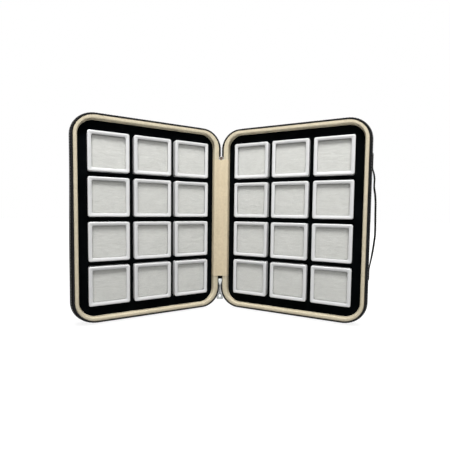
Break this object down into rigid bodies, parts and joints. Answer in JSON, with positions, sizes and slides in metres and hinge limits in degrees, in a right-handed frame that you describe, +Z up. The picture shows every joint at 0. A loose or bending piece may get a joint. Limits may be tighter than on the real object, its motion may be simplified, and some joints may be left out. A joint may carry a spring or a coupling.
{
  "type": "case of clear boxes",
  "caption": "Zippered hard-shell display case, open like a book and standing on its lower edge, with square clear-window boxes in velvet foam inserts and a strap handle.",
  "frame": {"origin": "on the surface that the case stands on, under the middle of its footprint", "axes": "+X to the viewer's right along the open spread, +Y away from the viewer, +Z up along the hinge"},
  "size_m": [0.3116, 0.0854, 0.2132],
  "materials": {
    "leatherette": "satin",
    "velvet_foam": "matte",
    "beige_leatherette": "matte",
    "zip_tape": "matte",
    "slider_metal": "satin",
    "white_plastic_tray": "satin",
    "white_plastic_lid": "satin"
  },
  "bodies": {
    "left_leaf": {"left_shell": "leatherette", "left_insert": "velvet_foam", "left_rim": "beige_leatherette", "left_zip": "zip_tape", "hinge_strip": "beige_leatherette"},
    "right_leaf": {"right_shell": "leatherette", "right_insert": "velvet_foam", "right_rim": "beige_leatherette", "right_zip": "zip_tape", "handle": "leatherette"},
    "zip_slider": {"zip_slider": "slider_metal"},
    "zip_pull_tab": {"zip_pull_tab": "slider_metal"},
    "left_a1_tray": {"left_a1_tray": "white_plastic_tray"},
    "left_a1_lid": {"left_a1_lid": "white_plastic_lid"},
    "left_a2_tray": {"left_a2_tray": "white_plastic_tray"},
    "left_a2_lid": {"left_a2_lid": "white_plastic_lid"},
    "left_a3_tray": {"left_a3_tray": "white_plastic_tray"},
    "left_a3_lid": {"left_a3_lid": "white_plastic_lid"},
    "left_a4_tray": {"left_a4_tray": "white_plastic_tray"},
    "left_a4_lid": {"left_a4_lid": "white_plastic_lid"},
    "left_b1_tray": {"left_b1_tray": "white_plastic_tray"},
    "left_b1_lid": {"left_b1_lid": "white_plastic_lid"},
    "left_b2_tray": {"left_b2_tray": "white_plastic_tray"},
    "left_b2_lid": {"left_b2_lid": "white_plastic_lid"},
    "left_b3_tray": {"left_b3_tray": "white_plastic_tray"},
    "left_b3_lid": {"left_b3_lid": "white_plastic_lid"},
    "left_b4_tray": {"left_b4_tray": "white_plastic_tray"},
    "left_b4_lid": {"left_b4_lid": "white_plastic_lid"},
    "left_c1_tray": {"left_c1_tray": "white_plastic_tray"},
    "left_c1_lid": {"left_c1_lid": "white_plastic_lid"},
    "left_c2_tray": {"left_c2_tray": "white_plastic_tray"},
    "left_c2_lid": {"left_c2_lid": "white_plastic_lid"},
    "left_c3_tray": {"left_c3_tray": "white_plastic_tray"},
    "left_c3_lid": {"left_c3_lid": "white_plastic_lid"},
    "left_c4_tray": {"left_c4_tray": "white_plastic_tray"},
    "left_c4_lid": {"left_c4_lid": "white_plastic_lid"},
    "right_a1_tray": {"right_a1_tray": "white_plastic_tray"},
    "right_a1_lid": {"right_a1_lid": "white_plastic_lid"},
    "right_a2_tray": {"right_a2_tray": "white_plastic_tray"},
    "right_a2_lid": {"right_a2_lid": "white_plastic_lid"},
    "right_a3_tray": {"right_a3_tray": "white_plastic_tray"},
    "right_a3_lid": {"right_a3_lid": "white_plastic_lid"},
    "right_a4_tray": {"right_a4_tray": "white_plastic_tray"},
    "right_a4_lid": {"right_a4_lid": "white_plastic_lid"},
    "right_b1_tray": {"right_b1_tray": "white_plastic_tray"},
    "right_b1_lid": {"right_b1_lid": "white_plastic_lid"},
    "right_b2_tray": {"right_b2_tray": "white_plastic_tray"},
    "right_b2_lid": {"right_b2_lid": "white_plastic_lid"},
    "right_b3_tray": {"right_b3_tray": "white_plastic_tray"},
    "right_b3_lid": {"right_b3_lid": "white_plastic_lid"},
    "right_b4_tray": {"right_b4_tray": "white_plastic_tray"},
    "right_b4_lid": {"right_b4_lid": "white_plastic_lid"},
    "right_c1_tray": {"right_c1_tray": "white_plastic_tray"},
    "right_c1_lid": {"right_c1_lid": "white_plastic_lid"},
    "right_c2_tray": {"right_c2_tray": "white_plastic_tray"},
    "right_c2_lid": {"right_c2_lid": "white_plastic_lid"},
    "right_c3_tray": {"right_c3_tray": "white_plastic_tray"},
    "right_c3_lid": {"right_c3_lid": "white_plastic_lid"},
    "right_c4_tray": {"right_c4_tray": "white_plastic_tray"},
    "right_c4_lid": {"right_c4_lid": "white_plastic_lid"}
  },
  "joints": [
    {"name": "case_hinge", "type": "hinge", "parent": "left_leaf", "child": "right_leaf", "pos_m": [-0.00219, 0.02545, 0.1066], "axis": [0, 0, 1], "range_deg": [-129.2, 50.8], "deforming": ["hinge_strip"]},
    {"name": "case_zip_slider_turn", "type": "hinge", "parent": "left_leaf", "child": "zip_slider", "pos_m": [-0.00219, 0.02545, 0.1066], "axis": [0, 0, 1], "range_deg": [-64.6, 25.4]},
    {"name": "case_zip_tab_swing", "type": "hinge", "parent": "zip_slider", "child": "zip_pull_tab", "pos_m": [-0.00219, 0.02845, 0.0313], "axis": [-1, 0, 0], "range_deg": [-120, 0]},
    {"name": "left_a1_lift_out", "type": "slide", "parent": "left_leaf", "child": "left_a1_tray", "axis": [0.4289, -0.9033, 0], "range_m": [0, 0.024]},
    {"name": "left_a1_lid_off", "type": "slide", "parent": "left_a1_tray", "child": "left_a1_lid", "axis": [0.4289, -0.9033, 0], "range_m": [0, 0.014]},
    {"name": "left_a2_lift_out", "type": "slide", "parent": "left_leaf", "child": "left_a2_tray", "axis": [0.4289, -0.9033, 0], "range_m": [0, 0.024]},
    {"name": "left_a2_lid_off", "type": "slide", "parent": "left_a2_tray", "child": "left_a2_lid", "axis": [0.4289, -0.9033, 0], "range_m": [0, 0.014]},
    {"name": "left_a3_lift_out", "type": "slide", "parent": "left_leaf", "child": "left_a3_tray", "axis": [0.4289, -0.9033, 0], "range_m": [0, 0.024]},
    {"name": "left_a3_lid_off", "type": "slide", "parent": "left_a3_tray", "child": "left_a3_lid", "axis": [0.4289, -0.9033, 0], "range_m": [0, 0.014]},
    {"name": "left_a4_lift_out", "type": "slide", "parent": "left_leaf", "child": "left_a4_tray", "axis": [0.4289, -0.9033, 0], "range_m": [0, 0.024]},
    {"name": "left_a4_lid_off", "type": "slide", "parent": "left_a4_tray", "child": "left_a4_lid", "axis": [0.4289, -0.9033, 0], "range_m": [0, 0.014]},
    {"name": "left_b1_lift_out", "type": "slide", "parent": "left_leaf", "child": "left_b1_tray", "axis": [0.4289, -0.9033, 0], "range_m": [0, 0.024]},
    {"name": "left_b1_lid_off", "type": "slide", "parent": "left_b1_tray", "child": "left_b1_lid", "axis": [0.4289, -0.9033, 0], "range_m": [0, 0.014]},
    {"name": "left_b2_lift_out", "type": "slide", "parent": "left_leaf", "child": "left_b2_tray", "axis": [0.4289, -0.9033, 0], "range_m": [0, 0.024]},
    {"name": "left_b2_lid_off", "type": "slide", "parent": "left_b2_tray", "child": "left_b2_lid", "axis": [0.4289, -0.9033, 0], "range_m": [0, 0.014]},
    {"name": "left_b3_lift_out", "type": "slide", "parent": "left_leaf", "child": "left_b3_tray", "axis": [0.4289, -0.9033, 0], "range_m": [0, 0.024]},
    {"name": "left_b3_lid_off", "type": "slide", "parent": "left_b3_tray", "child": "left_b3_lid", "axis": [0.4289, -0.9033, 0], "range_m": [0, 0.014]},
    {"name": "left_b4_lift_out", "type": "slide", "parent": "left_leaf", "child": "left_b4_tray", "axis": [0.4289, -0.9033, 0], "range_m": [0, 0.024]},
    {"name": "left_b4_lid_off", "type": "slide", "parent": "left_b4_tray", "child": "left_b4_lid", "axis": [0.4289, -0.9033, 0], "range_m": [0, 0.014]},
    {"name": "left_c1_lift_out", "type": "slide", "parent": "left_leaf", "child": "left_c1_tray", "axis": [0.4289, -0.9033, 0], "range_m": [0, 0.024]},
    {"name": "left_c1_lid_off", "type": "slide", "parent": "left_c1_tray", "child": "left_c1_lid", "axis": [0.4289, -0.9033, 0], "range_m": [0, 0.014]},
    {"name": "left_c2_lift_out", "type": "slide", "parent": "left_leaf", "child": "left_c2_tray", "axis": [0.4289, -0.9033, 0], "range_m": [0, 0.024]},
    {"name": "left_c2_lid_off", "type": "slide", "parent": "left_c2_tray", "child": "left_c2_lid", "axis": [0.4289, -0.9033, 0], "range_m": [0, 0.014]},
    {"name": "left_c3_lift_out", "type": "slide", "parent": "left_leaf", "child": "left_c3_tray", "axis": [0.4289, -0.9033, 0], "range_m": [0, 0.024]},
    {"name": "left_c3_lid_off", "type": "slide", "parent": "left_c3_tray", "child": "left_c3_lid", "axis": [0.4289, -0.9033, 0], "range_m": [0, 0.014]},
    {"name": "left_c4_lift_out", "type": "slide", "parent": "left_leaf", "child": "left_c4_tray", "axis": [0.4289, -0.9033, 0], "range_m": [0, 0.024]},
    {"name": "left_c4_lid_off", "type": "slide", "parent": "left_c4_tray", "child": "left_c4_lid", "axis": [0.4289, -0.9033, 0], "range_m": [0, 0.014]},
    {"name": "right_a1_lift_out", "type": "slide", "parent": "right_leaf", "child": "right_a1_tray", "axis": [-0.4289, -0.9033, 0], "range_m": [0, 0.024]},
    {"name": "right_a1_lid_off", "type": "slide", "parent": "right_a1_tray", "child": "right_a1_lid", "axis": [-0.4289, -0.9033, 0], "range_m": [0, 0.014]},
    {"name": "right_a2_lift_out", "type": "slide", "parent": "right_leaf", "child": "right_a2_tray", "axis": [-0.4289, -0.9033, 0], "range_m": [0, 0.024]},
    {"name": "right_a2_lid_off", "type": "slide", "parent": "right_a2_tray", "child": "right_a2_lid", "axis": [-0.4289, -0.9033, 0], "range_m": [0, 0.014]},
    {"name": "right_a3_lift_out", "type": "slide", "parent": "right_leaf", "child": "right_a3_tray", "axis": [-0.4289, -0.9033, 0], "range_m": [0, 0.024]},
    {"name": "right_a3_lid_off", "type": "slide", "parent": "right_a3_tray", "child": "right_a3_lid", "axis": [-0.4289, -0.9033, 0], "range_m": [0, 0.014]},
    {"name": "right_a4_lift_out", "type": "slide", "parent": "right_leaf", "child": "right_a4_tray", "axis": [-0.4289, -0.9033, 0], "range_m": [0, 0.024]},
    {"name": "right_a4_lid_off", "type": "slide", "parent": "right_a4_tray", "child": "right_a4_lid", "axis": [-0.4289, -0.9033, 0], "range_m": [0, 0.014]},
    {"name": "right_b1_lift_out", "type": "slide", "parent": "right_leaf", "child": "right_b1_tray", "axis": [-0.4289, -0.9033, 0], "range_m": [0, 0.024]},
    {"name": "right_b1_lid_off", "type": "slide", "parent": "right_b1_tray", "child": "right_b1_lid", "axis": [-0.4289, -0.9033, 0], "range_m": [0, 0.014]},
    {"name": "right_b2_lift_out", "type": "slide", "parent": "right_leaf", "child": "right_b2_tray", "axis": [-0.4289, -0.9033, 0], "range_m": [0, 0.024]},
    {"name": "right_b2_lid_off", "type": "slide", "parent": "right_b2_tray", "child": "right_b2_lid", "axis": [-0.4289, -0.9033, 0], "range_m": [0, 0.014]},
    {"name": "right_b3_lift_out", "type": "slide", "parent": "right_leaf", "child": "right_b3_tray", "axis": [-0.4289, -0.9033, 0], "range_m": [0, 0.024]},
    {"name": "right_b3_lid_off", "type": "slide", "parent": "right_b3_tray", "child": "right_b3_lid", "axis": [-0.4289, -0.9033, 0], "range_m": [0, 0.014]},
    {"name": "right_b4_lift_out", "type": "slide", "parent": "right_leaf", "child": "right_b4_tray", "axis": [-0.4289, -0.9033, 0], "range_m": [0, 0.024]},
    {"name": "right_b4_lid_off", "type": "slide", "parent": "right_b4_tray", "child": "right_b4_lid", "axis": [-0.4289, -0.9033, 0], "range_m": [0, 0.014]},
    {"name": "right_c1_lift_out", "type": "slide", "parent": "right_leaf", "child": "right_c1_tray", "axis": [-0.4289, -0.9033, 0], "range_m": [0, 0.024]},
    {"name": "right_c1_lid_off", "type": "slide", "parent": "right_c1_tray", "child": "right_c1_lid", "axis": [-0.4289, -0.9033, 0], "range_m": [0, 0.014]},
    {"name": "right_c2_lift_out", "type": "slide", "parent": "right_leaf", "child": "right_c2_tray", "axis": [-0.4289, -0.9033, 0], "range_m": [0, 0.024]},
    {"name": "right_c2_lid_off", "type": "slide", "parent": "right_c2_tray", "child": "right_c2_lid", "axis": [-0.4289, -0.9033, 0], "range_m": [0, 0.014]},
    {"name": "right_c3_lift_out", "type": "slide", "parent": "right_leaf", "child": "right_c3_tray", "axis": [-0.4289, -0.9033, 0], "range_m": [0, 0.024]},
    {"name": "right_c3_lid_off", "type": "slide", "parent": "right_c3_tray", "child": "right_c3_lid", "axis": [-0.4289, -0.9033, 0], "range_m": [0, 0.014]},
    {"name": "right_c4_lift_out", "type": "slide", "parent": "right_leaf", "child": "right_c4_tray", "axis": [-0.4289, -0.9033, 0], "range_m": [0, 0.024]},
    {"name": "right_c4_lid_off", "type": "slide", "parent": "right_c4_tray", "child": "right_c4_lid", "axis": [-0.4289, -0.9033, 0], "range_m": [0, 0.014]}
  ],
  "couplings": [
    {"joint": "case_zip_slider_turn", "follows": "case_hinge", "ratio": 0.5}
  ]
}
